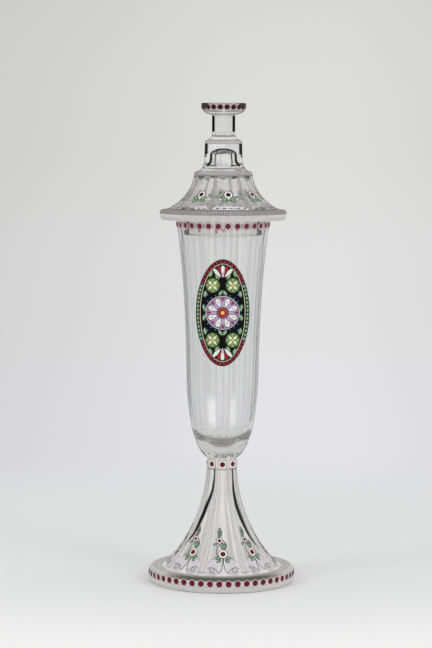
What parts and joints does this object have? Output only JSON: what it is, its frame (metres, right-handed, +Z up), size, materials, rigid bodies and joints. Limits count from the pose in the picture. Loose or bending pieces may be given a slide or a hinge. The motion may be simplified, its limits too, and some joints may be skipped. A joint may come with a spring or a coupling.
{
  "type": "covered glass cup",
  "caption": "Tall footed glass cup with a lift-off cover, a hollow trumpet foot, a button finial and fired enamel dots, sprigs and an oval medallion.",
  "frame": {"origin": "centre of the foot's underside, on the surface that the cup stands on", "axes": "+Z up along the cup's axis; -Y is the front, where the medallion is; +X is to the right seen from the front"},
  "size_m": [0.1094, 0.1094, 0.3555],
  "materials": {
    "clear_glass": "polished clear, with matt ribbons between the panels of foot and cover",
    "ruby_enamel": "gloss ruby-red fired enamel dots on a pale ground",
    "black_enamel": "gloss black fired enamel ground with coloured ornament",
    "leaf_enamel": "semi-gloss green, white and red fired enamel",
    "matt_enamel": "matt, finely hatched grey enamel"
  },
  "bodies": {
    "cup": {"foot_plate": "clear_glass", "foot_trumpet": "clear_glass", "bowl": "clear_glass", "foot_rim_dots": "ruby_enamel", "neck_dots": "ruby_enamel", "mouth_dots": "ruby_enamel", "medallion": "black_enamel", "foot_sprig_1": "leaf_enamel", "foot_sprig_2": "leaf_enamel", "foot_sprig_3": "leaf_enamel", "foot_sprig_4": "leaf_enamel", "foot_sprig_5": "leaf_enamel", "foot_sprig_6": "leaf_enamel", "foot_sprig_7": "leaf_enamel", "foot_sprig_8": "leaf_enamel"},
    "cover": {"cover_dome": "clear_glass", "cover_collar": "clear_glass", "finial_stem": "clear_glass", "finial_button": "clear_glass", "button_dots": "ruby_enamel", "brim_band": "matt_enamel", "cover_sprig_1": "leaf_enamel", "cover_sprig_2": "leaf_enamel", "cover_sprig_3": "leaf_enamel", "cover_sprig_4": "leaf_enamel", "cover_sprig_5": "leaf_enamel", "cover_sprig_6": "leaf_enamel", "cover_sprig_7": "leaf_enamel", "cover_sprig_8": "leaf_enamel"}
  },
  "joints": [
    {"name": "cover_lift", "type": "slide", "parent": "cup", "child": "cover", "axis": [0, 0, 1], "range_m": [0, 0.12]}
  ]
}
